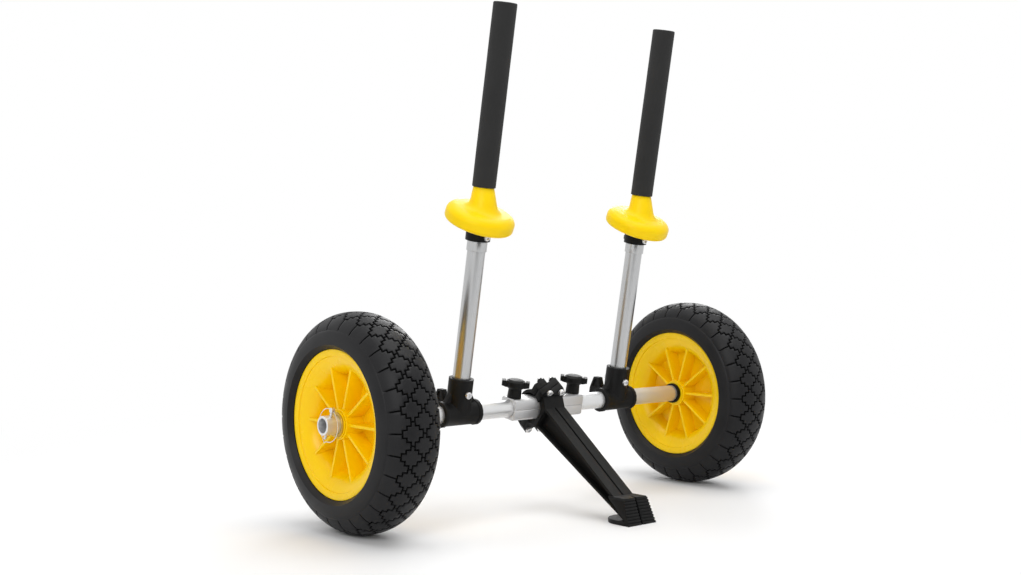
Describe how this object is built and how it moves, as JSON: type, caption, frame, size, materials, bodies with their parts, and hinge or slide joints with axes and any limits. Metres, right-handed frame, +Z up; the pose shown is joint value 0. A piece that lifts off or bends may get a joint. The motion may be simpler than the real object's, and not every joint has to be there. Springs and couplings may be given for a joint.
{
  "type": "kayak cart",
  "caption": "Two-wheeled cart whose padded upright posts pass through a kayak's scupper holes, with a folding kickstand and a width-adjustable axle.",
  "frame": {"origin": "on the ground, at the middle of the bounding box's base, as the cart stands on its kickstand", "axes": "+X along the axle to the viewer's right, -Y towards the kickstand's foot, +Z up"},
  "size_m": [0.66, 0.3056, 0.6131],
  "materials": {
    "tyre": "matt black solid foam tyre",
    "rim": "glossy moulded yellow plastic",
    "bumper": "soft satin yellow rubber",
    "plastic": "fine textured black plastic",
    "foam": "matt black closed-cell foam",
    "aluminium": "satin anodised aluminium",
    "zinc": "bright zinc plated steel"
  },
  "bodies": {
    "coupling": {"coupling_box": "aluminium"},
    "kickstand": {"kickstand_leg": "plastic", "clamp_jaw": "plastic", "upper_left_clamp_bolt": "zinc", "upper_left_clamp_nut": "zinc", "upper_right_clamp_bolt": "zinc", "upper_right_clamp_nut": "zinc", "lower_left_clamp_bolt": "zinc", "lower_left_clamp_nut": "zinc", "lower_right_clamp_bolt": "zinc", "lower_right_clamp_nut": "zinc"},
    "left_axle": {"left_axle_tube": "aluminium", "left_washer": "zinc", "left_spacer_ring": "plastic", "left_lock_pin": "zinc"},
    "left_wheel": {"left_tyre": "tyre", "left_rim": "rim", "left_outer_bush": "rim", "left_inner_bush": "rim"},
    "left_ring": {"left_lock_ring": "zinc"},
    "left_post": {"left_tee": "plastic", "left_pole": "aluminium", "left_ferrule": "aluminium", "left_collar": "plastic", "left_bumper": "bumper", "left_foam_sleeve": "foam", "left_pole_cap": "plastic", "left_tee_bolt": "zinc", "left_tee_nut": "zinc", "left_collar_bolt": "zinc", "left_collar_nut": "plastic"},
    "left_wing": {"left_wing_knob": "plastic", "left_wing_stud": "zinc"},
    "left_knob": {"left_coupling_knob": "plastic", "left_coupling_stud": "zinc"},
    "right_axle": {"right_axle_tube": "aluminium", "right_washer": "zinc", "right_spacer_ring": "plastic", "right_lock_pin": "zinc"},
    "right_wheel": {"right_tyre": "tyre", "right_rim": "rim", "right_outer_bush": "rim", "right_inner_bush": "rim"},
    "right_ring": {"right_lock_ring": "zinc"},
    "right_post": {"right_tee": "plastic", "right_pole": "aluminium", "right_ferrule": "aluminium", "right_collar": "plastic", "right_bumper": "bumper", "right_foam_sleeve": "foam", "right_pole_cap": "plastic", "right_tee_bolt": "zinc", "right_tee_nut": "zinc", "right_collar_bolt": "zinc", "right_collar_nut": "plastic"},
    "right_wing": {"right_wing_knob": "plastic", "right_wing_stud": "zinc"},
    "right_knob": {"right_coupling_knob": "plastic", "right_coupling_stud": "zinc"}
  },
  "joints": [
    {"name": "left_axle_slide", "type": "slide", "parent": "coupling", "child": "left_axle", "axis": [-1, 0, 0], "range_m": [-0.0135, 0.018]},
    {"name": "right_axle_slide", "type": "slide", "parent": "coupling", "child": "right_axle", "axis": [1, 0, 0], "range_m": [-0.0135, 0.018]},
    {"name": "left_wheel_spin", "type": "hinge", "parent": "left_axle", "child": "left_wheel", "pos_m": [-0.2825, 0.026, 0.127], "axis": [1, 0, 0], "continuous": true},
    {"name": "right_wheel_spin", "type": "hinge", "parent": "right_axle", "child": "right_wheel", "pos_m": [0.2825, 0.026, 0.127], "axis": [1, 0, 0], "continuous": true},
    {"name": "left_post_tilt", "type": "hinge", "parent": "left_axle", "child": "left_post", "pos_m": [-0.137, 0.026, 0.127], "axis": [1, 0, 0], "range_deg": [-100.5, 79.5]},
    {"name": "right_post_tilt", "type": "hinge", "parent": "right_axle", "child": "right_post", "pos_m": [0.134, 0.026, 0.127], "axis": [1, 0, 0], "range_deg": [-100.5, 79.5]},
    {"name": "kickstand_fold", "type": "hinge", "parent": "coupling", "child": "kickstand", "pos_m": [0, 0.026, 0.127], "axis": [-1, 0, 0], "range_deg": [0, 118]},
    {"name": "left_knob_turn", "type": "hinge", "parent": "coupling", "child": "left_knob", "pos_m": [-0.0475, 0.02354, 0.14027], "axis": [0, -0.1822, 0.9833], "range_deg": [0, 450]},
    {"name": "right_knob_turn", "type": "hinge", "parent": "coupling", "child": "right_knob", "pos_m": [0.0535, 0.02354, 0.14027], "axis": [0, -0.1822, 0.9833], "range_deg": [0, 450]},
    {"name": "left_wing_turn", "type": "hinge", "parent": "left_post", "child": "left_wing", "pos_m": [-0.137, 0.04665, 0.13083], "axis": [0, 0.9833, 0.1822], "range_deg": [0, 450]},
    {"name": "right_wing_turn", "type": "hinge", "parent": "right_post", "child": "right_wing", "pos_m": [0.134, 0.04665, 0.13083], "axis": [0, 0.9833, 0.1822], "range_deg": [0, 450]},
    {"name": "left_ring_swing", "type": "hinge", "parent": "left_axle", "child": "left_ring", "pos_m": [-0.322, 0.01823, 0.14445], "axis": [0, 0.9135, 0.4067], "range_deg": [0, 100]},
    {"name": "right_ring_swing", "type": "hinge", "parent": "right_axle", "child": "right_ring", "pos_m": [0.322, 0.01823, 0.14445], "axis": [0, -0.9135, -0.4067], "range_deg": [0, 100]}
  ]
}
